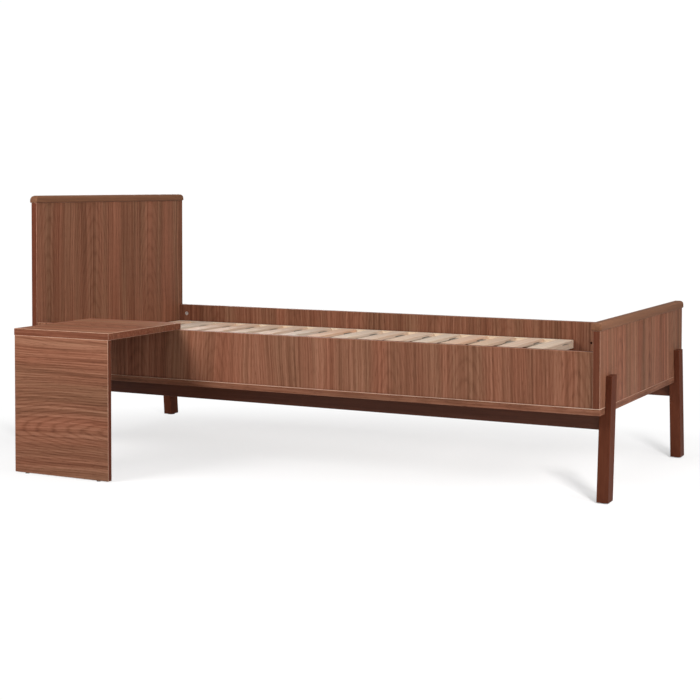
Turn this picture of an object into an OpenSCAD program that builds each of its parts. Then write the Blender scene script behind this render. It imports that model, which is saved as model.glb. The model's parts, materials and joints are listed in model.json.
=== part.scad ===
// Single panel bed with a high headboard, a low footboard, splayed legs, a slatted base
// and a side table that hooks over one side panel. Millimetres, +X towards the foot, +Z up.
// The origin is on the floor, at the centre of the bed and its table together.

/* [Mattress space] */
// Length between the inner faces of the head and foot panels
inner_length = 2010; // [1910:1:2110]
// Width between the inner faces of the two side panels
inner_width = 904; // [854:1:1004]

/* [End panels] */
// Thickness of the head and foot panels
end_t = 22; // [20:1:28]
// Height of the head panel's top edge above the floor
head_top_z = 866; // [700:1:1000]
// Height of the foot panel's top edge above the floor
foot_top_z = 507; // [480:1:650]
// Height of the rounded cap on each end panel
cap_h = 25; // [20:1:30]
// How far the cap stands out over both faces of its panel
cap_lip = 4; // [2:1:6]
// How far the cap stands out past the panel's side edges
cap_end_lip = 2; // [1:1:8]
// Radius of the cap's long top edges
cap_edge_r = 9; // [4:1:12]
// Radius of the cap's two top corners, seen from the end of the bed
cap_corner_r = 20; // [10:1:20]

/* [Side panels and base boards] */
// Thickness of the side panels
side_t = 18; // [16:1:22]
// How far the side panels' outer faces sit in from the end panels' edges
side_inset = 4; // [2:1:8]
// Height of the side panels' top edge above the floor
side_top_z = 445; // [430:1:460]
// Height of the base boards' underside above the floor
base_z = 260; // [240:1:280]
// Thickness of the base boards
base_t = 20; // [18:1:24]
// Width of the base boards
base_w = 90; // [84:1:120]

/* [Legs and rails] */
// Thickness of a leg along the bed
leg_t = 35; // [32:1:44]
// How far a leg stands out from the end panel's outer face
leg_out = 18; // [16:1:22]
// Width of a leg across the bed
leg_w = 51; // [44:1:60]
// Height of the leg's top above the floor
leg_top_z = 371; // [355:1:400]
// Distance from the end panel's edge to the leg's outer edge, at the leg's top
leg_inset = 59; // [50:1:66]
// How far the leg leans outwards from its top down to the floor
leg_splay = 33; // [0:1:45]
// Height of a long rail
rail_h = 49; // [40:1:60]
// Thickness of a long rail
rail_t = 22; // [18:1:26]
// Distance from the end panel's edge to the middle of a long rail
rail_inset = 72; // [68:1:76]

/* [Slatted base] */
// Number of slats
slat_count = 16; // [16:1:16]
// Width of a slat
slat_w = 60; // [50:1:66]
// Distance from one slat to the next
slat_pitch = 106; // [96:1:106]
// Thickness of a slat
slat_t = 10; // [8:1:12]
// Height of the slats' top faces above the floor
slat_top_z = 380; // [375:1:390]
// Height of the runners' underside above the floor
runner_z = 351; // [345:1:355]
// Gap between the head panel and the slatted base
slat_head_gap = 6; // [4:1:10]
// Width of the webbing straps
strap_w = 60; // [40:1:60]

/* [Side table] */
// Width of the table along the bed
table_w = 370; // [300:1:450]
// Distance from the bed's side edge to the table's front face
table_reach = 392; // [300:1:450]
// Thickness of the table top
table_top_t = 22; // [20:1:28]
// Thickness of the table's end panel
table_end_t = 18; // [18:1:22]
// Distance from the bed's middle back to the table's middle, towards the head
table_back = 606; // [400:1:780]

/* [Hidden] */
$fn = 48;

// Colours
walnut = [0.49, 0.31, 0.24];
cap_brown = [0.44, 0.28, 0.21];
leg_brown = [0.31, 0.17, 0.13];
pine = [0.83, 0.72, 0.62];
beech = [0.80, 0.65, 0.47];
webbing = [0.60, 0.54, 0.47];
zinc = [0.72, 0.72, 0.72];
brass = [0.75, 0.60, 0.30];
dark_plastic = [0.15, 0.14, 0.13];

// Sizes across and along the bed, measured from its own centre
near = -1;
far = 1;
head = -1;
foot = 1;
half_l = inner_length / 2;
end_out = half_l + end_t;
side_in = inner_width / 2;
side_out = side_in + side_t;
half_w = side_out + side_inset;
cap_half_w = half_w + cap_end_lip;
base_top_z = base_z + base_t;
leg_out_x = end_out + leg_out;
leg_in_x = leg_out_x - leg_t;
rail_y = half_w - rail_inset;
table_front = -half_w - table_reach;
bed_y = -(table_front + cap_half_w) / 2;

// A cut runs this far past the face that it goes through
cut = 1;

// Fastenings. A hole is wider than what it holds by this much all round
fit = 0.1;
glide_t = 3;
leg_glide_r = 14;
table_glide_r = 7;
glide_pin_r = 2;
glide_pin_l = 16;
dowel_r = 4;
dowel_l = 30;
dowel_shift = 2;
cap_dowel_end_gap = 76;
base_dowel_end_gap = 200;
base_dowel_edge_gap = 190;
rail_dowel_r = 5;
rail_dowel_l = 40;
cam_r = 7.5;
cam_depth = 12.5;
cam_set_back = 34;
cam_cross = [7, 1.6, 4];
cam_bolt_gap = 0.5;
cam_bolt_reach = cam_set_back - cam_r - cam_bolt_gap;
cam_bolt_r = 3.5;
cam_thread_r = 2.5;
cam_thread_l = 11;
cam_zs = [base_top_z + 36, side_top_z - 36];
side_dowel_zs = [base_top_z + 18, base_top_z + 82];
leg_bolt_r = 3;
leg_bolt_head_r = 6;
leg_bolt_head_t = 3;
leg_bolt_l = 34;
leg_bolt_zs = [base_top_z + 20, leg_top_z - 26];
insert_r = 5;
insert_l = 13;
screw_r = 2;
screw_head_r = 4;
screw_head_h = 3;
base_screw_end_gap = 120;
base_screw_l = 48;
cleat_screw_l = 34;
slat_screw_l = 24;
hook_screw_l = 13;
hook_screw_ys = [-side_out - 14, -side_out - 30];
socket_r = 4;
socket_depth = 12;
socket_x = 714;
socket_z = 372;

// Slatted base
cleat_w = 22;
cleat_h = 30;
cleat_head_x = -half_l + 55;
cleat_foot_x = half_l - 370;
cleat_screw_end_gap = 65;
base_side_gap = 6;
base_half_w = side_in - base_side_gap;
runner_w = 48;
lip_w = 15;
slat_gap = 0.5;
slat_z = slat_top_z - slat_t;
lip_in = base_half_w - lip_w;
runner_in = base_half_w - runner_w;
slat_half_l = lip_in - slat_gap;
slats_head_x = -half_l + slat_head_gap;
slats_foot_x = slats_head_x + (slat_count - 1) * slat_pitch + slat_w;
batten_w = 45;
strap_t = 1.2;
strap_lift = 0.2;
strap_gap = 11;
strap_y = runner_in - strap_gap - strap_w / 2;
notch_h = 3.5;
notch_gap = 3;
notch_w = strap_w + 2 * notch_gap;
strap_end_gap = 1;

// Side table
table_x = -table_back;
table_lip = 2;
table_top_z = side_top_z + table_top_t;
table_end_y = table_front + table_end_t / 2;
hook_w = 40;
hook_t = 1.5;
hook_out_drop = 11;
hook_in_drop = 24;
hook_spread = 115;
hook_back = 40;
hook_out_gap = 0.7;
hook_in_gap = 0.5;
hook_lift = 0.2;
hook_z = side_top_z + hook_lift;
table_rear = -side_in + hook_in_gap + hook_t;
table_dowel_spread = 110;
table_cam_spread = 150;
table_glide_spread = 140;

// A board between two opposite corners, given as [low, high] along each axis
module board(x, y, z) {
  translate([x[0], y[0], z[0]]) cube([x[1] - x[0], y[1] - y[0], z[1] - z[0]]);
}

// Even places for a row of fastenings, from -reach to reach
function row(reach, count) = [for (i = [0:count - 1]) reach * (2 * i / (count - 1) - 1)];

// Moves what is drawn about the bed's centre to its place in the shared frame
module placed() {
  translate([0, bed_y, 0]) children();
}

// Draws for the far side and the foot end, or mirrors to the near side and the head end
module at_side(side) {
  if (side == near) mirror([0, 1, 0]) children();
  else children();
}

module at_end(end) {
  if (end == head) mirror([1, 0, 0]) children();
  else children();
}

module at_corners() {
  for (end = [head, foot]) for (side = [near, far]) at_end(end) at_side(side) children();
}

// A round peg of radius r, from z = -l / 2 to l / 2
module peg(r, l) {
  cylinder(r = r, h = l, center = true);
}

// A countersunk screw that points down, its head's flat face at z = 0
module screw(l, grow = 0) {
  translate([0, 0, -l]) cylinder(r = screw_r + grow, h = l);
  translate([0, 0, -screw_head_h])
    cylinder(r1 = screw_r + grow, r2 = screw_head_r + grow, h = screw_head_h);
}

// Where each kind of fastening sits

module cam_lock_sites() {
  at_corners() for (z = cam_zs)
    translate([half_l - cam_set_back, side_in, z]) rotate([-90, 0, 0]) children();
}

module side_dowel_sites() {
  at_corners() for (z = side_dowel_zs)
    translate([half_l - dowel_shift, side_in + side_t / 2, z]) rotate([0, 90, 0]) children();
}

module cap_dowel_sites(end, top_z) {
  for (y = row(half_w - cap_dowel_end_gap, 5))
    translate([end * (half_l + end_t / 2), y, top_z]) children();
}

module base_dowel_sites() {
  for (side = [near, far], x = row(half_l - base_dowel_end_gap, 5))
    translate([x, side * (side_in + side_t / 2), base_top_z]) children();
  for (end = [head, foot], y = row(half_w - base_dowel_edge_gap, 3))
    translate([end * (half_l + end_t / 2), y, base_top_z]) children();
  at_corners()
    translate([end_out - base_w / 2, half_w - base_w, base_z + base_t / 2])
      rotate([90, 0, 0]) children();
}

module leg_bolt_sites() {
  at_corners() for (z = leg_bolt_zs)
    translate([half_l, leg_outer_y(z) - leg_w / 2, z]) rotate([0, 90, 0]) children();
}

module rail_dowel_sites() {
  at_corners() translate([leg_in_x, rail_y, base_z - rail_h / 2])
    rotate([0, 90, 0]) children();
}

module base_screw_sites() {
  for (side = [near, far], x = row(half_l - base_screw_end_gap, 5))
    translate([x, side * rail_y, base_top_z]) children();
}

module cleat_screw_sites(side) {
  middle = (cleat_head_x + cleat_foot_x) / 2;
  reach = (cleat_foot_x - cleat_head_x) / 2 - cleat_screw_end_gap;
  at_side(side) for (x = row(reach, 5))
    translate([middle + x, side_in - cleat_w, runner_z - cleat_h / 2])
      rotate([90, 0, 0]) children();
}

module glide_sites() {
  at_corners() translate([leg_out_x - leg_t / 2, leg_outer_y(0) - leg_w / 2, 0]) children();
}

module slat_screw_sites(i) {
  for (side = [near, far])
    translate([slat_x(i) + slat_w / 2, side * (runner_in + lip_in) / 2, slat_top_z])
      children();
}

module hook_sites() {
  for (s = [-1, 1]) translate([table_x + s * hook_spread, 0, 0]) children();
}

module hook_screw_sites() {
  hook_sites() for (y = hook_screw_ys)
    translate([0, y, hook_z]) mirror([0, 0, 1]) children();
}

module table_dowel_sites() {
  for (s = [-1, 1])
    translate([table_x + s * table_dowel_spread, table_end_y, side_top_z - dowel_shift])
      children();
}

module table_cam_bolt_sites() {
  for (s = [-1, 1])
    translate([table_x + s * table_cam_spread, table_end_y, side_top_z]) children();
}

module table_cam_lock_sites() {
  table_cam_bolt_sites()
    translate([0, table_end_t / 2, -cam_set_back]) rotate([90, 0, 0]) children();
}

module table_glide_sites() {
  for (s = [-1, 1]) translate([table_x + s * table_glide_spread, table_end_y, 0]) children();
}

// The holes that the fastenings leave in the boards

// A cam bolt's stem runs from z = -reach to its thread, which starts at z = 0
module cam_bolt(reach = cam_bolt_reach, grow = 0) {
  translate([0, 0, -reach]) cylinder(r = cam_bolt_r + grow, h = reach);
  cylinder(r = cam_thread_r + grow, h = cam_thread_l + grow);
}

// Its hole opens into the cam's hole
module cam_bolt_hole() {
  cam_bolt(cam_set_back - cam_r / 2, fit);
}

module cam_bolt_sites() {
  at_corners() for (z = cam_zs)
    translate([half_l, side_in + side_t / 2, z]) rotate([0, 90, 0]) children();
}

module corner_holes() {
  cam_bolt_sites() cam_bolt_hole();
  side_dowel_sites() peg(dowel_r + fit, dowel_l);
}

module leg_bolt(grow = 0) {
  translate([0, 0, -leg_bolt_head_t]) cylinder(r = leg_bolt_head_r, h = leg_bolt_head_t);
  cylinder(r = leg_bolt_r + grow, h = leg_bolt_l);
}

// Head and foot ends

module end_panel(end, top_z) {
  difference() {
    at_end(end) board([half_l, end_out], [-half_w, half_w], [base_top_z, top_z]);
    corner_holes();
    cap_dowel_sites(end, top_z) peg(dowel_r + fit, dowel_l);
    base_dowel_sites() peg(dowel_r + fit, dowel_l);
    leg_bolt_sites() leg_bolt(fit);
  }
}

// An outline with a flat foot on y = 0 and two rounded top corners
module round_topped(w, h, r) {
  translate([-w / 2, 0]) square([w, h - r]);
  translate([-w / 2 + r, 0]) square([w - 2 * r, h]);
  for (s = [-1, 1]) translate([s * (w / 2 - r), h - r]) circle(r);
}

module end_cap(end, top_z) {
  w = end_t + 2 * cap_lip;
  difference() {
    translate([end * (half_l + end_t / 2), 0, top_z]) intersection() {
      rotate([90, 0, 0]) linear_extrude(2 * cap_half_w, center = true)
        round_topped(w, cap_h, cap_edge_r);
      rotate([90, 0, 90]) linear_extrude(w, center = true)
        round_topped(2 * cap_half_w, cap_h, cap_corner_r);
    }
    cap_dowel_sites(end, top_z) peg(dowel_r + fit, dowel_l);
  }
}

module head_panel() color(walnut) placed() end_panel(head, head_top_z);
module foot_panel() color(walnut) placed() end_panel(foot, foot_top_z);
module head_cap() color(cap_brown) placed() end_cap(head, head_top_z);
module foot_cap() color(cap_brown) placed() end_cap(foot, foot_top_z);

// Sides

// The inner face of each side panel has one plain socket near the foot
module side_panel(side) {
  color(walnut) placed() difference() {
    at_side(side) board([-half_l, half_l], [side_in, side_out], [base_top_z, side_top_z]);
    corner_holes();
    cam_lock_sites() cylinder(r = cam_r + fit, h = cam_depth + fit);
    base_dowel_sites() peg(dowel_r + fit, dowel_l);
    cleat_screw_sites(side) screw(cleat_screw_l + fit, fit);
    at_side(side) translate([socket_x, side_in, socket_z])
      rotate([-90, 0, 0]) cylinder(r = socket_r, h = socket_depth);
  }
}

module base_board_side(side) {
  color(walnut) placed() difference() {
    at_side(side) board([-end_out, end_out], [half_w - base_w, half_w], [base_z, base_top_z]);
    base_dowel_sites() peg(dowel_r + fit, dowel_l);
    base_screw_sites() screw(base_screw_l, fit);
  }
}

module base_board_end(end) {
  inner_y = half_w - base_w;
  color(walnut) placed() difference() {
    at_end(end) board([end_out - base_w, end_out], [-inner_y, inner_y], [base_z, base_top_z]);
    base_dowel_sites() peg(dowel_r + fit, dowel_l);
  }
}

module side_panel_near() side_panel(near);
module side_panel_far() side_panel(far);
module base_board_near() base_board_side(near);
module base_board_far() base_board_side(far);
module base_board_head() base_board_end(head);
module base_board_foot() base_board_end(foot);

// Legs and rails

// How far out a leg's outer edge is at height z
function leg_outer_y(z) = half_w - leg_inset + leg_splay * (leg_top_z - z) / leg_top_z;

// A splayed bar, notched at the top so that it stands under the base board and up the panel
module leg(end, side) {
  low = leg_outer_y(glide_t);
  high = leg_outer_y(leg_top_z);
  color(leg_brown) placed() difference() {
    at_end(end) at_side(side) translate([leg_in_x, 0, 0]) rotate([90, 0, 90])
      linear_extrude(leg_t)
        polygon([[low, glide_t], [high, leg_top_z], [high - leg_w, leg_top_z],
          [low - leg_w, glide_t]]);
    at_end(end) at_side(side)
      board([leg_in_x - cut, end_out], [0, half_w], [base_z, leg_top_z + cut]);
    leg_bolt_sites() translate([0, 0, end_t]) cylinder(r = insert_r + fit, h = insert_l + fit);
    rail_dowel_sites() peg(rail_dowel_r + fit, rail_dowel_l);
    glide_sites() cylinder(r = glide_pin_r + fit, h = glide_t + glide_pin_l + fit);
  }
}

module rail(side) {
  color(leg_brown) placed() difference() {
    at_side(side) board([-leg_in_x, leg_in_x], [rail_y - rail_t / 2, rail_y + rail_t / 2],
      [base_z - rail_h, base_z]);
    rail_dowel_sites() peg(rail_dowel_r + fit, rail_dowel_l);
    base_screw_sites() screw(base_screw_l, fit);
  }
}

module leg_head_near() leg(head, near);
module leg_head_far() leg(head, far);
module leg_foot_near() leg(foot, near);
module leg_foot_far() leg(foot, far);
module rail_near() rail(near);
module rail_far() rail(far);

// Cleats that carry the slatted base

module slat_cleat(side) {
  color(walnut) placed() difference() {
    at_side(side) board([cleat_head_x, cleat_foot_x], [side_in - cleat_w, side_in],
      [runner_z - cleat_h, runner_z]);
    cleat_screw_sites(side) screw(cleat_screw_l + fit, fit);
  }
}

module slat_cleat_near() slat_cleat(near);
module slat_cleat_far() slat_cleat(far);

// Bed fastenings

// A round cam with a cross recess in its face, which lies at z = 0
module cam_lock() {
  difference() {
    cylinder(r = cam_r, h = cam_depth);
    for (a = [0, 90]) rotate(a) cube(cam_cross, center = true);
  }
}

module cam_locks() color(zinc) placed() cam_lock_sites() cam_lock();
module cam_bolts() color(zinc) placed() cam_bolt_sites() cam_bolt();

module side_dowels()
  color(beech) placed() side_dowel_sites() peg(dowel_r, dowel_l - 2 * fit);

module cap_dowels() color(beech) placed() {
  cap_dowel_sites(head, head_top_z) peg(dowel_r, dowel_l - 2 * fit);
  cap_dowel_sites(foot, foot_top_z) peg(dowel_r, dowel_l - 2 * fit);
}

module base_dowels()
  color(beech) placed() base_dowel_sites() peg(dowel_r, dowel_l - 2 * fit);

module rail_dowels()
  color(beech) placed() rail_dowel_sites() peg(rail_dowel_r, rail_dowel_l - 2 * fit);

module leg_bolts() color(zinc) placed() leg_bolt_sites() leg_bolt();

module leg_inserts() color(brass) placed() leg_bolt_sites()
  translate([0, 0, end_t]) difference() {
    cylinder(r = insert_r, h = insert_l);
    translate([0, 0, -cut]) cylinder(r = leg_bolt_r + fit, h = insert_l + 2 * cut);
  }

module base_board_screws()
  color(zinc) placed() base_screw_sites() screw(base_screw_l - fit);

module cleat_screws() color(zinc) placed()
  for (side = [near, far]) cleat_screw_sites(side) screw(cleat_screw_l);

// A flat disc under the foot with a pin that goes up into it
module glide(r) {
  cylinder(r = r, h = glide_t);
  cylinder(r = glide_pin_r, h = glide_t + glide_pin_l);
}

module leg_glides() color(dark_plastic) placed() glide_sites() glide(leg_glide_r);

// Slatted base

// Where slat i starts, counted from the foot end
function slat_x(i) = slats_foot_x - slat_w - i * slat_pitch;

module slat(i) {
  color(pine) placed() difference() {
    board([slat_x(i), slat_x(i) + slat_w], [-slat_half_l, slat_half_l], [slat_z, slat_top_z]);
    for (side = [near, far]) at_side(side)
      board([slat_x(i) - cut, slat_x(i) + slat_w + cut],
        [strap_y - notch_w / 2, strap_y + notch_w / 2], [slat_z - cut, slat_z + notch_h]);
    slat_screw_sites(i) screw(slat_screw_l, fit);
  }
}

module slat_01() slat(0);
module slat_02() slat(1);
module slat_03() slat(2);
module slat_04() slat(3);
module slat_05() slat(4);
module slat_06() slat(5);
module slat_07() slat(6);
module slat_08() slat(7);
module slat_09() slat(8);
module slat_10() slat(9);
module slat_11() slat(10);
module slat_12() slat(11);
module slat_13() slat(12);
module slat_14() slat(13);
module slat_15() slat(14);
module slat_16() slat(15);

// A rebated runner: the slats lie on its low part, against its lip
module slat_runner(side) {
  color(pine) placed() difference() {
    at_side(side) translate([slats_head_x, 0, 0]) rotate([90, 0, 90])
      linear_extrude(slats_foot_x - slats_head_x)
        polygon([[runner_in, runner_z], [base_half_w, runner_z], [base_half_w, slat_top_z],
          [lip_in, slat_top_z], [lip_in, slat_z], [runner_in, slat_z]]);
    for (i = [0:slat_count - 1]) slat_screw_sites(i) screw(slat_screw_l, fit);
  }
}

module slat_end_batten(x) {
  color(pine) placed()
    board([x, x + batten_w], [-runner_in + slat_gap, runner_in - slat_gap], [runner_z, slat_z]);
}

module webbing_strap(side) {
  low = slat_z + strap_lift;
  color(webbing) placed() at_side(side)
    board([slats_head_x + strap_end_gap, slats_foot_x - strap_end_gap],
      [strap_y - strap_w / 2, strap_y + strap_w / 2], [low, low + strap_t]);
}

module slat_runner_near() slat_runner(near);
module slat_runner_far() slat_runner(far);
module slat_end_batten_head() slat_end_batten(slats_head_x);
module slat_end_batten_foot() slat_end_batten(slats_foot_x - batten_w);
module webbing_strap_near() webbing_strap(near);
module webbing_strap_far() webbing_strap(far);

module slat_screws() color(zinc) placed()
  for (i = [0:slat_count - 1]) slat_screw_sites(i) screw(slat_screw_l - fit);

// Side table

module table_top() {
  color(walnut) placed() difference() {
    board([table_x - table_w / 2, table_x + table_w / 2], [table_front, table_rear],
      [side_top_z, table_top_z]);
    hook_sites() board([-hook_w / 2 - fit, hook_w / 2 + fit],
      [-side_out - hook_back - fit, table_rear + cut], [side_top_z - cut, hook_z + hook_t]);
    hook_screw_sites() screw(hook_screw_l + fit, fit);
    table_dowel_sites() peg(dowel_r + fit, dowel_l);
    table_cam_bolt_sites() cam_bolt_hole();
  }
}

module table_end_panel() {
  color(walnut) placed() difference() {
    board([table_x - table_w / 2 + table_lip, table_x + table_w / 2 - table_lip],
      [table_front, table_front + table_end_t], [glide_t, side_top_z]);
    table_dowel_sites() peg(dowel_r + fit, dowel_l);
    table_cam_bolt_sites() cam_bolt_hole();
    table_cam_lock_sites() cylinder(r = cam_r + fit, h = cam_depth + fit);
    table_glide_sites() cylinder(r = glide_pin_r + fit, h = glide_t + glide_pin_l + fit);
  }
}

// A saddle of bent plate: its two tabs reach down over both faces of the side panel
module table_hook() {
  outer = -side_out - hook_out_gap;
  x = [-hook_w / 2, hook_w / 2];
  board(x, [-side_out - hook_back, table_rear], [hook_z, hook_z + hook_t]);
  board(x, [outer - hook_t, outer], [hook_z - hook_out_drop, hook_z + hook_t]);
  board(x, [table_rear - hook_t, table_rear], [hook_z - hook_in_drop, hook_z + hook_t]);
}

module table_hooks() color(zinc) placed() difference() {
  hook_sites() table_hook();
  hook_screw_sites() screw(hook_screw_l, fit);
}

module hook_screws() color(zinc) placed() hook_screw_sites() screw(hook_screw_l);

module table_cam_locks() color(zinc) placed() table_cam_lock_sites() cam_lock();
module table_cam_bolts() color(zinc) placed() table_cam_bolt_sites() cam_bolt();

module table_dowels()
  color(beech) placed() table_dowel_sites() peg(dowel_r, dowel_l - 2 * fit);

module table_glides() color(dark_plastic) placed() table_glide_sites() glide(table_glide_r);

head_panel();
head_cap();
foot_panel();
foot_cap();
side_panel_near();
side_panel_far();
base_board_near();
base_board_far();
base_board_head();
base_board_foot();
leg_head_near();
leg_head_far();
leg_foot_near();
leg_foot_far();
rail_near();
rail_far();
slat_cleat_near();
slat_cleat_far();
cam_locks();
cam_bolts();
side_dowels();
cap_dowels();
base_dowels();
leg_bolts();
leg_inserts();
rail_dowels();
base_board_screws();
cleat_screws();
leg_glides();
slat_01();
slat_02();
slat_03();
slat_04();
slat_05();
slat_06();
slat_07();
slat_08();
slat_09();
slat_10();
slat_11();
slat_12();
slat_13();
slat_14();
slat_15();
slat_16();
slat_runner_near();
slat_runner_far();
slat_end_batten_head();
slat_end_batten_foot();
webbing_strap_near();
webbing_strap_far();
slat_screws();
table_top();
table_end_panel();
table_hooks();
hook_screws();
table_cam_locks();
table_cam_bolts();
table_dowels();
table_glides();
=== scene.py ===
"""Looks for the single panel bed with its hook-on side table: woods, fittings, floor, lights."""
import json
import math

import bmesh
import bpy
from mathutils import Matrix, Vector

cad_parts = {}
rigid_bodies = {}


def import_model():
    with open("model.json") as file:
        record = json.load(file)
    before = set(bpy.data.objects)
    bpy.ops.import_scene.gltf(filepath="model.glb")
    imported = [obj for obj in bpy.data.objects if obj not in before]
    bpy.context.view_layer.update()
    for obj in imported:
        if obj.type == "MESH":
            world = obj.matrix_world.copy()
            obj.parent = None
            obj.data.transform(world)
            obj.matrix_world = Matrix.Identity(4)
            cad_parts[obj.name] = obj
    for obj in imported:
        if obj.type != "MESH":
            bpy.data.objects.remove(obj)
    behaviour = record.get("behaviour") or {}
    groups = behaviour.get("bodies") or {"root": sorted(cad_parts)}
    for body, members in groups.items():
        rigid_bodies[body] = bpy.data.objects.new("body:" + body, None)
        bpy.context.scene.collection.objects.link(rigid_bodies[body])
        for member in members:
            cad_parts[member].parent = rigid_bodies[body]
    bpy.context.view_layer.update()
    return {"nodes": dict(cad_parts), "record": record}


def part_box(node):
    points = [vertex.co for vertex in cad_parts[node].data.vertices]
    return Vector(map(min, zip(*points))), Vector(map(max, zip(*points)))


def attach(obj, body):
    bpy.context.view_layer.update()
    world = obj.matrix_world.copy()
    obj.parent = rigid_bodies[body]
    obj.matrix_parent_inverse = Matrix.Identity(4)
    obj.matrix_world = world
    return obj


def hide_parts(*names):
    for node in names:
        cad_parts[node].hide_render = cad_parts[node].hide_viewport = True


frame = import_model()
NODES = frame["nodes"]
BODY_OF = {n: b for b, members in frame["record"]["behaviour"]["bodies"].items() for n in members}
SLATS = [n for n in sorted(NODES) if n.startswith("slat_") and n[5:].isdigit()]
MM = 0.001

# ---------------------------------------------------------------- camera

LENS_MM, SENSOR_MM = 77.57, 36.0
CAMERA_AT = (2.3105, -4.5110, 0.9287)
CAMERA_TURN = 0.4915
CAMERA_DIP = 0.0332
CAMERA_SHIFT = (0.0714, -0.1643)


def make_camera():
    data = bpy.data.cameras.new("camera")
    data.lens, data.sensor_width = LENS_MM, SENSOR_MM
    data.shift_x, data.shift_y = CAMERA_SHIFT
    data.clip_start, data.clip_end = 0.1, 100.0
    cam = bpy.data.objects.new("camera", data)
    cam.location = CAMERA_AT
    cam.rotation_euler = (math.pi / 2 - CAMERA_DIP, 0.0, CAMERA_TURN)
    bpy.context.scene.collection.objects.link(cam)
    bpy.context.scene.camera = cam


# ---------------------------------------------------------------- node helpers

# How far a texture is moved from one axis to the next, so that no two run alike
AXIS_STEP = 3.7


def add(tree, kind, inputs=None, **settings):
    """A new shader node. An input may be a plain value or another node's output socket."""
    node = tree.nodes.new(kind)
    for key, value in settings.items():
        setattr(node, key, value)
    for key, value in (inputs or {}).items():
        if isinstance(value, bpy.types.NodeSocket):
            tree.links.new(value, node.inputs[key])
        else:
            node.inputs[key].default_value = value
    return node


def calc(tree, operation, *values):
    """The output of a Math node."""
    node = add(tree, "ShaderNodeMath", dict(enumerate(values)), operation=operation)
    return node.outputs[0]


def mixed(tree, layers):
    """The sum of the layers, each one times its share."""
    total = 0.0
    for layer, share in layers:
        total = calc(tree, "MULTIPLY_ADD", layer, share, total)
    return total


def ramp(tree, factor, stops):
    """The colour of a Color Ramp. Each stop is (position, colour or grey)."""
    node = add(tree, "ShaderNodeValToRGB", {"Fac": factor})
    while len(node.color_ramp.elements) < len(stops):
        node.color_ramp.elements.new(0.5)
    for element, (position, colour) in zip(node.color_ramp.elements, stops):
        element.position = position
        shade = (colour,) * 3 if isinstance(colour, (int, float)) else colour
        element.color = (*shade, 1.0)
    return node.outputs["Color"]


def noise(tree, vector, scale=1.0, detail=2.0):
    node = add(tree, "ShaderNodeTexNoise", {"Vector": vector, "Scale": scale, "Detail": detail})
    return node.outputs["Fac"]


def combine(tree, x, y, z):
    return add(tree, "ShaderNodeCombineXYZ", {"X": x, "Y": y, "Z": z}).outputs[0]


def blend_colour(tree, kind, factor, a, b):
    """The colour of a Mix node in colour mode."""
    node = add(tree, "ShaderNodeMix", data_type="RGBA", blend_type=kind)
    for key, value in (("Factor", factor), ("A", a), ("B", b)):
        socket = next(s for s in node.inputs if s.name == key and s.enabled)
        if isinstance(value, bpy.types.NodeSocket):
            tree.links.new(value, socket)
        else:
            socket.default_value = (*value, 1.0) if isinstance(value, tuple) else value
    return next(s for s in node.outputs if s.enabled)


def new_material(name):
    """An empty material and its Principled shader."""
    material = bpy.data.materials.new(name)
    material.use_nodes = True
    tree = material.node_tree
    return material, tree, tree.nodes["Principled BSDF"]


def bump(tree, shader, height, strength, distance):
    node = add(tree, "ShaderNodeBump",
               {"Height": height, "Strength": strength, "Distance": distance})
    tree.links.new(node.outputs["Normal"], shader.inputs["Normal"])


def grain_axes(tree, along, across):
    """Object coordinates as (along the grain, across it, the third way)."""
    split = add(tree, "ShaderNodeSeparateXYZ",
                {0: add(tree, "ShaderNodeTexCoord").outputs["Object"]})
    third = ({"X", "Y", "Z"} - {along, across}).pop()
    return split.outputs[along], split.outputs[across], split.outputs[third]


def stretched(tree, axes, rates, shift):
    """A texture vector that changes by the given number of cycles a metre along each axis."""
    parts = [calc(tree, "MULTIPLY_ADD", a, r, shift + AXIS_STEP * i)
             for i, (a, r) in enumerate(zip(axes, rates))]
    return combine(tree, *parts)


# ---------------------------------------------------------------- materials

# How far the grain sways in veneer and in pine
VENEER_SWAY, PINE_SWAY = 0.05, 0.03
# How far a leaf's heart is off its middle, how deep it lies for that, how slanted the cut is
HEART_SPREAD, HEART_DEPTH, RING_SLANT = 0.12, 0.9, 0.13
# What each layer counts for in the veneer's tone, and how far the tone spreads at contrast 1
BROAD, STREAKS, LINES, FIBRES = 0.30, 0.26, 0.46, 0.30
TONE_SPREAD = 1.30


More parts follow.
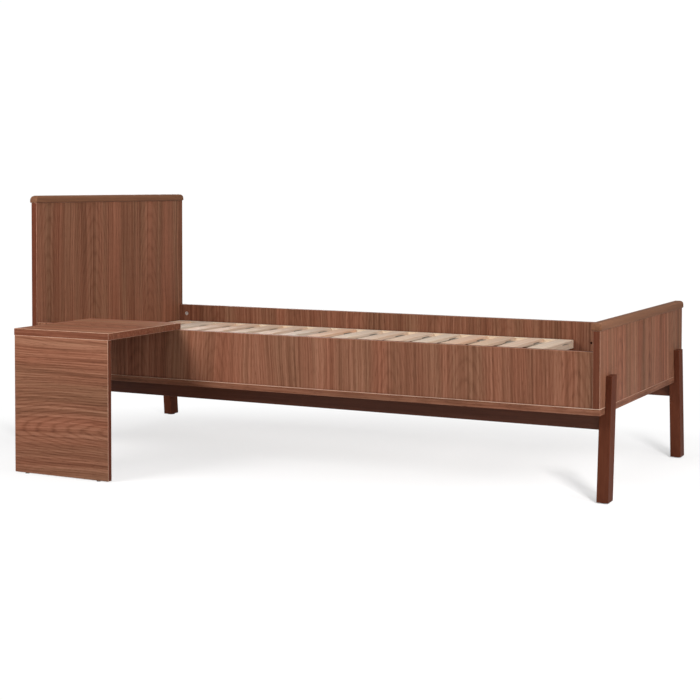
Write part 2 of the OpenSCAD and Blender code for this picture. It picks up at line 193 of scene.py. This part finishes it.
def walnut(name, along, across, shift, palette, leaf=0.30, figure=0.14, contrast=1.0,
           roughness=0.50):
    """Sliced veneer: broad bands, growth rings cut at a slant, streaks, fibres and open pores."""
    material, tree, shader = new_material(name)
    axes = grain_axes(tree, along, across)
    slow = noise(tree, stretched(tree, axes, (1.6, 2.5, 2.5), shift), detail=2.0)
    sway = calc(tree, "MULTIPLY", calc(tree, "SUBTRACT", slow, 0.5), VENEER_SWAY)
    bent = (axes[0], calc(tree, "ADD", axes[1], sway), axes[2])

    # each leaf of veneer has its own heart, and the slanted cut opens its rings into arches
    place = calc(tree, "MULTIPLY_ADD", axes[1], 1.0 / leaf, shift)
    index = calc(tree, "FLOOR", place)
    within = calc(tree, "MULTIPLY", calc(tree, "SUBTRACT", calc(tree, "FRACT", place), 0.5), leaf)
    luck = add(tree, "ShaderNodeTexWhiteNoise", {"W": index}, noise_dimensions="1D")
    heart = calc(tree, "MULTIPLY_ADD", luck.outputs["Value"], HEART_SPREAD, -HEART_SPREAD / 2)
    ring_y = calc(tree, "ADD", calc(tree, "ADD", within, heart), sway)
    ring_z = calc(tree, "MULTIPLY_ADD", axes[0], RING_SLANT,
                  calc(tree, "MULTIPLY", heart, HEART_DEPTH))
    wave = add(tree, "ShaderNodeTexWave",
               {"Vector": combine(tree, 0.0, ring_y, ring_z), "Scale": 40.0,
                "Distortion": 3.0, "Detail": 3.0, "Detail Scale": 1.6, "Detail Roughness": 0.6},
               wave_type="RINGS", rings_direction="X", wave_profile="SIN").outputs["Fac"]
    rings = ramp(tree, wave, ((0.35, 0.62), (0.80, 0.42), (1.00, 0.10)))

    broad = noise(tree, stretched(tree, bent, (0.7, 13.0, 13.0), shift), detail=2.0)
    streaks = noise(tree, stretched(tree, bent, (1.6, 85.0, 85.0), shift + 11.0), detail=1.0)
    lines = noise(tree, stretched(tree, bent, (1.4, 165.0, 165.0), shift + 5.0), detail=0.0)
    fibres = noise(tree, stretched(tree, bent, (9.0, 620.0, 620.0), shift), detail=2.0)
    layers = ((broad, BROAD), (streaks, STREAKS), (lines, LINES), (fibres, FIBRES),
              (rings, figure))
    # every layer is about 0.5 on average, and this keeps the tone's average at 0.5 too
    mean = 0.5 * sum(share for layer, share in layers)
    spread = TONE_SPREAD * contrast
    tone = calc(tree, "MULTIPLY_ADD", mixed(tree, layers), spread, 0.5 - spread * mean)
    colour = ramp(tree, tone, palette)

    # patches run from olive to reddish brown
    warmth = noise(tree, stretched(tree, bent, (0.8, 15.0, 15.0), shift + 23.0), detail=3.0)
    warm = ramp(tree, warmth, ((0.33, (0.94, 1.04, 1.03)), (0.50, (1.0, 1.0, 1.0)),
                               (0.67, (1.05, 0.96, 0.95))))
    colour = blend_colour(tree, "MULTIPLY", 1.0, colour, warm)

    dashes = noise(tree, stretched(tree, bent, (30.0, 1100.0, 1100.0), shift + 2.0), detail=1.0)
    pores = ramp(tree, dashes, ((0.29, 1.0), (0.38, 0.0)))
    dark = blend_colour(tree, "MULTIPLY", 1.0, colour, (0.50, 0.44, 0.42))
    colour = blend_colour(tree, "MIX", pores, colour, dark)
    tree.links.new(colour, shader.inputs["Base Color"])

    gloss = calc(tree, "MULTIPLY_ADD", streaks, 0.16, roughness - 0.08)
    tree.links.new(calc(tree, "MULTIPLY_ADD", pores, 0.15, gloss), shader.inputs["Roughness"])
    shader.inputs["Specular IOR Level"].default_value = 0.10
    height = calc(tree, "SUBTRACT", calc(tree, "MULTIPLY", fibres, 0.35), pores)
    bump(tree, shader, height, 0.35, 0.12 * MM)
    return material


def solid_wood(name, along, across, shift, palette, roughness=0.42, specular=0.16):
    """Stained and lacquered solid wood: a quieter grain under a satin film."""
    material, tree, shader = new_material(name)
    axes = grain_axes(tree, along, across)
    broad = noise(tree, stretched(tree, axes, (1.4, 30.0, 30.0), shift), detail=2.0)
    streaks = noise(tree, stretched(tree, axes, (6.0, 230.0, 230.0), shift + 4.0), detail=3.0)
    fibres = noise(tree, stretched(tree, axes, (26.0, 1300.0, 1300.0), shift), detail=2.0)
    tone = mixed(tree, ((broad, 0.50), (streaks, 0.36), (fibres, 0.14)))
    tree.links.new(ramp(tree, tone, palette), shader.inputs["Base Color"])
    gloss = calc(tree, "MULTIPLY_ADD", streaks, 0.12, roughness - 0.06)
    tree.links.new(gloss, shader.inputs["Roughness"])
    shader.inputs["Specular IOR Level"].default_value = specular
    bump(tree, shader, fibres, 0.25, 0.10 * MM)
    return material


def pine_wood(name, along, across, shift, pitch, start, tints):
    """Raw planed pine. Each slat has its own tint, from greyish to pink and honey."""
    material, tree, shader = new_material(name)
    axes = grain_axes(tree, along, across)
    coords = add(tree, "ShaderNodeTexCoord").outputs["Object"]
    x = add(tree, "ShaderNodeSeparateXYZ", {0: coords}).outputs["X"]
    index = calc(tree, "FLOOR", calc(tree, "MULTIPLY_ADD", x, 1.0 / pitch, -start / pitch))
    luck = add(tree, "ShaderNodeTexWhiteNoise", {"W": calc(tree, "ADD", index, shift)},
               noise_dimensions="1D").outputs["Value"]
    tint = ramp(tree, luck, tints)
    sway = noise(tree, stretched(tree, axes, (2.0, 9.0, 9.0), shift), detail=1.0)
    bent = (axes[0], calc(tree, "MULTIPLY_ADD", sway, PINE_SWAY, axes[1]), axes[2])
    rings = add(tree, "ShaderNodeTexWave",
                {"Vector": stretched(tree, bent, (0.10, 1.0, 1.4), shift), "Scale": 30.0,
                 "Distortion": 2.4, "Detail": 2.0, "Detail Scale": 0.8},
                wave_type="RINGS", rings_direction="X", wave_profile="SAW").outputs["Fac"]
    late = ramp(tree, rings, ((0.0, (1.0, 1.0, 1.0)), (0.72, (0.95, 0.88, 0.80)),
                              (1.0, (0.80, 0.66, 0.52))))
    colour = blend_colour(tree, "MULTIPLY", 0.75, tint, late)
    stain = noise(tree, stretched(tree, axes, (2.2, 14.0, 14.0), shift + 8.0), detail=2.0)
    patch = ramp(tree, stain, ((0.30, (0.88, 0.92, 0.96)), (0.55, (1.0, 1.0, 1.0)),
                               (0.75, (1.06, 0.95, 0.86))))
    colour = blend_colour(tree, "MULTIPLY", 0.9, colour, patch)
    tree.links.new(colour, shader.inputs["Base Color"])
    fibres = noise(tree, stretched(tree, axes, (30.0, 900.0, 900.0), shift), detail=3.0)
    tree.links.new(calc(tree, "MULTIPLY_ADD", fibres, 0.2, 0.5), shader.inputs["Roughness"])
    shader.inputs["Specular IOR Level"].default_value = 0.3
    bump(tree, shader, fibres, 0.4, 0.15 * MM)
    return material


def metal(name, colour, roughness, metallic=1.0):
    """Plated steel or brass: a fine brushed finish with cloudy patches."""
    material, tree, shader = new_material(name)
    coords = add(tree, "ShaderNodeTexCoord").outputs["Object"]
    clouds = noise(tree, coords, scale=180.0, detail=3.0)
    shade = tuple(c * 0.8 for c in colour)
    tree.links.new(ramp(tree, clouds, ((0.3, shade), (0.7, colour))), shader.inputs["Base Color"])
    scratches = noise(tree, coords, scale=1400.0, detail=2.0)
    tree.links.new(calc(tree, "MULTIPLY_ADD", scratches, 0.2, roughness - 0.1),
                   shader.inputs["Roughness"])
    shader.inputs["Metallic"].default_value = metallic
    bump(tree, shader, scratches, 0.2, 0.05 * MM)
    return material


def woven(name, colour, across):
    """Flat tape: a fine rib across it and single threads along it."""
    material, tree, shader = new_material(name)
    axes = grain_axes(tree, "X", across)
    ribs = calc(tree, "SINE", calc(tree, "MULTIPLY", axes[0], 2600.0))
    threads = calc(tree, "SINE", calc(tree, "MULTIPLY", axes[1], 5200.0))
    weave = calc(tree, "MULTIPLY_ADD", calc(tree, "MULTIPLY", ribs, threads), 0.5, 0.5)
    shade = tuple(c * 0.45 for c in colour)
    tree.links.new(ramp(tree, weave, ((0.1, shade), (0.9, colour))), shader.inputs["Base Color"])
    shader.inputs["Roughness"].default_value = 0.9
    bump(tree, shader, weave, 0.6, 0.2 * MM)
    return material


def plastic(name, colour, roughness):
    """Moulded plastic with a fine spark-eroded grain."""
    material, tree, shader = new_material(name)
    coords = add(tree, "ShaderNodeTexCoord").outputs["Object"]
    grain = noise(tree, coords, scale=2500.0, detail=2.0)
    clouds = noise(tree, coords, scale=90.0, detail=2.0)
    light = tuple(c * 1.25 for c in colour)
    tree.links.new(ramp(tree, clouds, ((0.3, colour), (0.7, light))), shader.inputs["Base Color"])
    tree.links.new(calc(tree, "MULTIPLY_ADD", grain, 0.2, roughness - 0.1),
                   shader.inputs["Roughness"])
    bump(tree, shader, grain, 0.3, 0.05 * MM)
    return material


# Each palette runs from the grain's darkest tone to its lightest
WALNUT = ((0.00, (0.085, 0.030, 0.016)), (0.30, (0.165, 0.063, 0.034)),
          (0.50, (0.232, 0.094, 0.053)), (0.72, (0.300, 0.132, 0.078)),
          (1.00, (0.400, 0.195, 0.120)))
EDGE_BAND = ((0.00, (0.064, 0.017, 0.008)), (0.50, (0.132, 0.038, 0.019)),
             (1.00, (0.215, 0.075, 0.040)))
# Lighter arris colours are painted highlights: they stand in for the light a rounded edge catches
ARRIS_PAINTED_HIGHLIGHT = ((0.00, (0.280, 0.128, 0.078)), (0.50, (0.400, 0.212, 0.142)),
         (1.00, (0.520, 0.310, 0.220)))
# A stronger painted highlight, for the rounded edges of the table
BRIGHT_PAINTED_HIGHLIGHT = ((0.00, (0.360, 0.200, 0.130)), (0.50, (0.520, 0.310, 0.215)),
                (1.00, (0.680, 0.450, 0.340)))
TABLE_EDGE = ((0.00, (0.070, 0.022, 0.011)), (0.50, (0.168, 0.058, 0.031)),
              (1.00, (0.290, 0.120, 0.070)))
# The strongest painted highlight: the line of light along the long base boards' top arrises and
# ledge
BASE_TOP_PAINTED_HIGHLIGHT = ((0.00, (0.500, 0.300, 0.200)), (0.50, (0.700, 0.480, 0.360)),
              (1.00, (0.850, 0.640, 0.520)))
CAP_WOOD = ((0.30, (0.130, 0.054, 0.026)), (0.50, (0.184, 0.079, 0.040)),
            (0.70, (0.245, 0.110, 0.058)))
LEG_WOOD = ((0.30, (0.077, 0.021, 0.010)), (0.50, (0.106, 0.030, 0.015)),
            (0.70, (0.140, 0.043, 0.022)))
RAIL_WOOD = ((0.30, (0.074, 0.024, 0.013)), (0.50, (0.101, 0.034, 0.019)),
             (0.70, (0.134, 0.047, 0.027)))
BEECH = ((0.3, (0.50, 0.33, 0.18)), (0.5, (0.58, 0.40, 0.23)), (0.7, (0.66, 0.48, 0.30)))
# A tenth darker than WALNUT. The base boards, the cleats and the cross boards take it as their
# own tone; on the far side panel it is painted shade, the near panel's veneer darkened
WALNUT_DEEP = tuple((place, tuple(0.90 * c for c in colour)) for place, colour in WALNUT)
# The tints that the slats and the runners are picked from
PINE = ((0.00, (0.72, 0.53, 0.41)), (0.30, (0.68, 0.58, 0.49)), (0.50, (0.69, 0.48, 0.36)),
        (0.75, (0.72, 0.61, 0.51)), (1.00, (0.66, 0.46, 0.33)))
PALE_PINE = ((0.00, (0.80, 0.68, 0.54)), (1.00, (0.74, 0.60, 0.46)))


def make_materials():
    starts = sorted(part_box(n)[0].x for n in SLATS)
    pitch = starts[1] - starts[0]
    return {
        "side": walnut("walnut_side", "Z", "X", 4.3, WALNUT),
        # the far side panel is the near panel's veneer made a tenth darker: painted shade
        "side_far_painted_shade": walnut("walnut_side_far_painted_shade", "Z", "X", 9.1, WALNUT_DEEP),
        "head": walnut("walnut_head", "Z", "Y", 2.2, WALNUT, leaf=0.36, contrast=1.15),
        "foot": walnut("walnut_foot", "Z", "Y", 6.6, WALNUT, leaf=0.30, contrast=1.4),
        "long": walnut("walnut_long", "X", "Y", 1.9, WALNUT_DEEP),
        "cross": walnut("walnut_cross", "Y", "X", 7.4, WALNUT_DEEP),
        "table_front": walnut("walnut_table_front", "X", "Z", 3.1, WALNUT, leaf=0.47,
                              figure=0.24, contrast=1.15),
        "table_top": walnut("walnut_table_top", "X", "Y", 5.7, WALNUT, leaf=0.42, contrast=1.7),
        "table_edge": walnut("table_edge", "X", "Y", 0.9, TABLE_EDGE, figure=0.0),
        "band_x": walnut("edge_band_x", "X", "Z", 0.6, EDGE_BAND, figure=0.0),
        "band_z": walnut("edge_band_z", "Z", "Y", 0.4, EDGE_BAND, figure=0.0),
        # the arris looks paint the highlight that the rounded edges catch, the last two stronger
        "arris_painted_highlight": walnut("arris_painted_highlight", "Z", "X", 0.2, ARRIS_PAINTED_HIGHLIGHT, figure=0.0, roughness=0.35),
        "bright_painted_highlight": walnut("arris_bright_painted_highlight", "X", "Y", 0.5, BRIGHT_PAINTED_HIGHLIGHT, figure=0.0,
                         roughness=0.35),
        "base_top_painted_highlight": walnut("arris_base_top_painted_highlight", "X", "Y", 0.3, BASE_TOP_PAINTED_HIGHLIGHT, figure=0.0, roughness=0.35),
        "cap": solid_wood("cap_wood", "Y", "X", 1.0, CAP_WOOD, roughness=0.42),
        "leg": solid_wood("leg_wood", "Z", "Y", 2.0, LEG_WOOD, roughness=0.50, specular=0.05),
        "rail": solid_wood("rail_wood", "X", "Z", 3.0, RAIL_WOOD),
        "slat": pine_wood("pine_slat", "Y", "X", 2.0, pitch, starts[0], PINE),
        "runner": pine_wood("pine_runner", "X", "Y", 5.0, 10.0, -5.0, PALE_PINE),
        "beech": solid_wood("beech", "Z", "X", 4.0, BEECH, roughness=0.6),
        "zinc": metal("zinc_plate", (0.80, 0.79, 0.77), 0.45, metallic=0.55),
        "brass": metal("brass", (0.72, 0.53, 0.24), 0.35),
        "powder": plastic("brown_powder_coat", (0.075, 0.038, 0.026), 0.5),
        "webbing": woven("webbing_tape", (0.420, 0.350, 0.280), "Y"),
        "plastic": plastic("glide_plastic", (0.030, 0.027, 0.025), 0.5),
    }


# ---------------------------------------------------------------- pieces

# Radii of the rounded arrises
BOARD_ROUND, LEG_ROUND, RAIL_ROUND, CAP_ROUND = 1.0 * MM, 1.2 * MM, 1.5 * MM, 2.5 * MM
ROUND_STEPS = 3
# Edges shorter than this stay sharp, as the short ones round a hole have to
SHORTEST_ROUNDED = 12 * MM
WELD = 0.002 * MM
# The most that one flat face may turn, the least that a rounded edge turns, and the most that
# shading runs on over
SAME_FACE, ROUNDED_TURN, SMOOTH_TURN = math.radians(0.5), math.radians(40), math.radians(32)
# A face looks up, and a rounded one keeps the painted highlight of an edge lit from above, when
# its normal's height is above this
LOOKS_UP = 0.2


def finish_piece(obj, node):
    """Puts a piece in the scene, on the CAD node's body and in its place."""
    bpy.context.scene.collection.objects.link(obj)
    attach(obj, BODY_OF[node])
    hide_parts(node)


def merged(node):
    """A CAD node's mesh with its doubled points joined and its flat faces made whole."""
    bm = bmesh.new()
    bm.from_mesh(NODES[node].data)
    bmesh.ops.remove_doubles(bm, verts=bm.verts, dist=WELD)
    bmesh.ops.dissolve_limit(bm, angle_limit=SAME_FACE, verts=bm.verts, edges=bm.edges,
                             delimit=set())
    return bm


def rounded_board(node, looks, radius):
    """A board as CAD has it, holes and all, with every long sharp edge rounded over.

    The looks are materials for its two faces, and then, if they differ, for its narrow edges, for
    its rounded arrises, whose lighter colour is a painted highlight, and for the arrises that
    don't face up, which get a darker look than the painted highlight on the upward ones."""
    bm = merged(node)
    lo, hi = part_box(node)
    size = [h - l for l, h in zip(lo, hi)]
    thin = size.index(min(size))
    for face in bm.faces:
        face.material_index = 0 if abs(face.normal[thin]) > 0.9 or len(looks) < 2 else 1
    sharp = [e for e in bm.edges if e.is_manifold and e.calc_length() > SHORTEST_ROUNDED
             and e.calc_face_angle(0.0) > ROUNDED_TURN]
    # the rounded arrises take the third look, a lighter colour that paints the highlight a
    # rounded edge catches
    made = bmesh.ops.bevel(bm, geom=sharp, offset=radius, segments=ROUND_STEPS, profile=0.5,
                           affect="EDGES", clamp_overlap=False, loop_slide=False,
                           material=2 if len(looks) > 2 else -1)
    rounds = set(made["faces"])
    for face in bm.faces:
        face.smooth = True
    # arrises that don't face up take the fourth look, so the painted highlight is brightest on
    # the upward, lit ones
    for face in rounds:
        if len(looks) > 3 and face.normal.z < LOOKS_UP:
            face.material_index = 3
    # the flat faces stay flat: shading runs on only within a rounded arris or a hole's wall
    for edge in bm.edges:
        in_rounds = sum(face in rounds for face in edge.link_faces)
        edge.smooth = in_rounds != 1 and edge.calc_face_angle(0.0) < SMOOTH_TURN
    bmesh.ops.triangulate(bm, faces=[f for f in bm.faces if len(f.verts) > 4])
    mesh = bpy.data.meshes.new(node + "_board")
    bm.to_mesh(mesh)
    bm.free()
    for look in looks:
        mesh.materials.append(look)
    finish_piece(bpy.data.objects.new(node + "_board", mesh), node)


def restyle(node, material):
    """A CAD node that stays as it is, in a better material."""
    mesh = NODES[node].data
    mesh.materials.clear()
    mesh.materials.append(material)


def make_pieces(m):
    # the third look of each board paints a highlight on its rounded arrises
    for node, looks in (("head_panel", ("head", "band_z", "arris_painted_highlight")),
                        ("foot_panel", ("foot", "band_z", "arris_painted_highlight")),
                        ("side_panel_near", ("side", "band_x", "arris_painted_highlight")),
                        # the far side panel's darker veneer is painted shade
                        ("side_panel_far", ("side_far_painted_shade", "band_x", "arris_painted_highlight")),
                        ("base_board_near", ("long", "long", "base_top_painted_highlight", "long")),
                        ("base_board_far", ("long", "long", "base_top_painted_highlight", "long")),
                        ("base_board_head", ("cross", "cross", "arris_painted_highlight", "cross")),
                        ("base_board_foot", ("cross", "cross", "arris_painted_highlight", "cross")),
                        ("slat_cleat_near", ("long",)), ("slat_cleat_far", ("long",)),
                        ("table_top", ("table_top", "table_edge", "bright_painted_highlight", "arris_painted_highlight")),
                        ("table_end_panel", ("table_front", "band_z", "bright_painted_highlight"))):
        rounded_board(node, [m[look] for look in looks], BOARD_ROUND)
    for end in ("head", "foot"):
        rounded_board(end + "_cap", [m["cap"]], CAP_ROUND)
        for side in ("near", "far"):
            rounded_board(f"leg_{end}_{side}", [m["leg"]], LEG_ROUND)
    for side in ("near", "far"):
        rounded_board("rail_" + side, [m["rail"]], RAIL_ROUND)
        rounded_board("slat_runner_" + side, [m["runner"]], BOARD_ROUND)
        restyle("webbing_strap_" + side, m["webbing"])
    for end in ("head", "foot"):
        rounded_board("slat_end_batten_" + end, [m["slat"]], BOARD_ROUND)
    for node in SLATS:
        rounded_board(node, [m["slat"]], BOARD_ROUND)
    for node in ("side_dowels", "cap_dowels", "base_dowels", "rail_dowels", "table_dowels"):
        restyle(node, m["beech"])
    for node in ("cam_locks", "cam_bolts", "leg_bolts", "base_board_screws", "cleat_screws",
                 "slat_screws", "hook_screws", "table_cam_locks", "table_cam_bolts"):
        restyle(node, m["zinc"])
    restyle("table_hooks", m["powder"])
    restyle("leg_inserts", m["brass"])
    for node in ("leg_glides", "table_glides"):
        restyle(node, m["plastic"])


# ---------------------------------------------------------------- floor, sky and lights

FLOOR_R, FLOOR_SIDES = 14.0, 96
# The paper shows in an oval round the bed and fades out to plain white
FADE_FROM, FADE_TO, FADE_STRETCH = 0.75, 1.40, 1.6
FADE_MIDDLE = Vector((0.40, -0.05, 0.0))
SHADOW_SHARE = 0.50
WHITE, PAPER = (1.0, 1.0, 1.0, 1.0), (0.49, 0.482, 0.480, 1.0)
OVEREXPOSED = 1.02
# How much light the floor sends back up to the bed
BOUNCE = 0.31
SKY_FILL, SKY_FROM_FOOT_END = 0.16, 0.32


def make_floor():
    """White paper, bright enough to read as plain white, that takes faint shadows by the bed."""
    mesh = bpy.data.meshes.new("floor")
    bm = bmesh.new()
    bmesh.ops.create_circle(bm, cap_ends=True, radius=FLOOR_R, segments=FLOOR_SIDES)
    bm.to_mesh(mesh)
    bm.free()
    material = bpy.data.materials.new("floor")
    material.use_nodes = True
    tree = material.node_tree
    tree.nodes.clear()
    where = add(tree, "ShaderNodeTexCoord").outputs["Object"]
    from_middle = add(tree, "ShaderNodeVectorMath", {0: where, 1: FADE_MIDDLE},
                      operation="SUBTRACT").outputs["Vector"]
    oval = add(tree, "ShaderNodeVectorMath", {0: from_middle, 1: (1.0 / FADE_STRETCH, 1.0, 0.0)},
               operation="MULTIPLY").outputs["Vector"]
    away = add(tree, "ShaderNodeVectorMath", {0: oval}, operation="LENGTH").outputs["Value"]
    share = add(tree, "ShaderNodeMapRange",
                {"Value": away, "From Min": FADE_FROM, "From Max": FADE_TO,
                 "To Min": SHADOW_SHARE, "To Max": 0.0},
                interpolation_type="SMOOTHSTEP").outputs["Result"]
    paper = add(tree, "ShaderNodeBsdfDiffuse", {"Color": PAPER})
    glow = add(tree, "ShaderNodeEmission", {"Color": WHITE, "Strength": OVEREXPOSED})
    seen = add(tree, "ShaderNodeMixShader", {0: share, 1: glow.outputs[0], 2: paper.outputs[0]})
    card = add(tree, "ShaderNodeBsdfDiffuse", {"Color": (BOUNCE, BOUNCE, BOUNCE, 1.0)})
    eye = add(tree, "ShaderNodeLightPath").outputs["Is Camera Ray"]
    both = add(tree, "ShaderNodeMixShader", {0: eye, 1: card.outputs[0], 2: seen.outputs[0]})
    add(tree, "ShaderNodeOutputMaterial", {"Surface": both.outputs[0]})
    mesh.materials.append(material)
    floor = bpy.data.objects.new("floor", mesh)
    bpy.context.scene.collection.objects.link(floor)
    return floor


def make_sky(fill, from_right):
    """Plain white behind the bed, with a soft fill that is stronger from the foot end."""
    world = bpy.data.worlds.new("studio")
    world.use_nodes = True
    tree = world.node_tree
    tree.nodes.clear()
    way = add(tree, "ShaderNodeSeparateXYZ",
              {0: add(tree, "ShaderNodeTexCoord").outputs["Generated"]})
    side = calc(tree, "MAXIMUM", way.outputs["X"], 0.0)
    soft = calc(tree, "MULTIPLY_ADD", side, from_right, fill)
    seen = add(tree, "ShaderNodeLightPath").outputs["Is Camera Ray"]
    strength = calc(tree, "MULTIPLY_ADD", seen, calc(tree, "SUBTRACT", OVEREXPOSED, soft), soft)
    sky = add(tree, "ShaderNodeBackground", {"Color": WHITE, "Strength": strength})
    add(tree, "ShaderNodeOutputWorld", {"Surface": sky.outputs[0]})
    bpy.context.scene.world = world


def softbox(name, at, aim, size, watts):
    """A rectangular lamp at one point that faces another. It returns the lamp."""
    data = bpy.data.lights.new(name, "AREA")
    data.shape, data.size, data.size_y = "RECTANGLE", *size
    data.energy = watts
    light = bpy.data.objects.new(name, data)
    light.location = at
    light.rotation_euler = (Vector(aim) - Vector(at)).to_track_quat("-Z", "Y").to_euler()
    bpy.context.scene.collection.objects.link(light)
    return light


def make_lights(floor):
    """Four softboxes round the bed, and a lamp for the legs' shadows on the floor alone."""
    softbox("left", (-1.2, -2.1, 1.9), (-0.5, -0.5, 0.3), (1.0, 1.0), 57.0)
    softbox("right", (2.75, -0.95, 1.7), (0.8, 0.0, 0.4), (1.2, 1.2), 45.0)
    softbox("overhead", (0.8, 0.6, 3.2), (0.0, 0.2, 0.4), (2.6, 2.4), 36.5)
    softbox("behind", (-2.2, 2.7, 0.9), (-0.3, 0.3, 0.4), (1.4, 1.2), 28.0)
    lamp = softbox("leg_shadows", (3.1, -3.0, 3.0), (0.5, 0.0, 0.0), (0.7, 0.7), 450.0)
    only_floor = bpy.data.collections.new("only_floor")
    only_floor.objects.link(floor)
    lamp.light_linking.receiver_collection = only_floor
    legs = bpy.data.collections.new("legs")
    for piece in bpy.context.scene.objects:
        if piece.type == "MESH" and piece.name.startswith("leg_"):
            legs.objects.link(piece)
    lamp.light_linking.blocker_collection = legs


make_camera()
make_sky(SKY_FILL, SKY_FROM_FOOT_END)
make_pieces(make_materials())
make_lights(make_floor())
bpy.context.scene.view_settings.view_transform = "Standard"
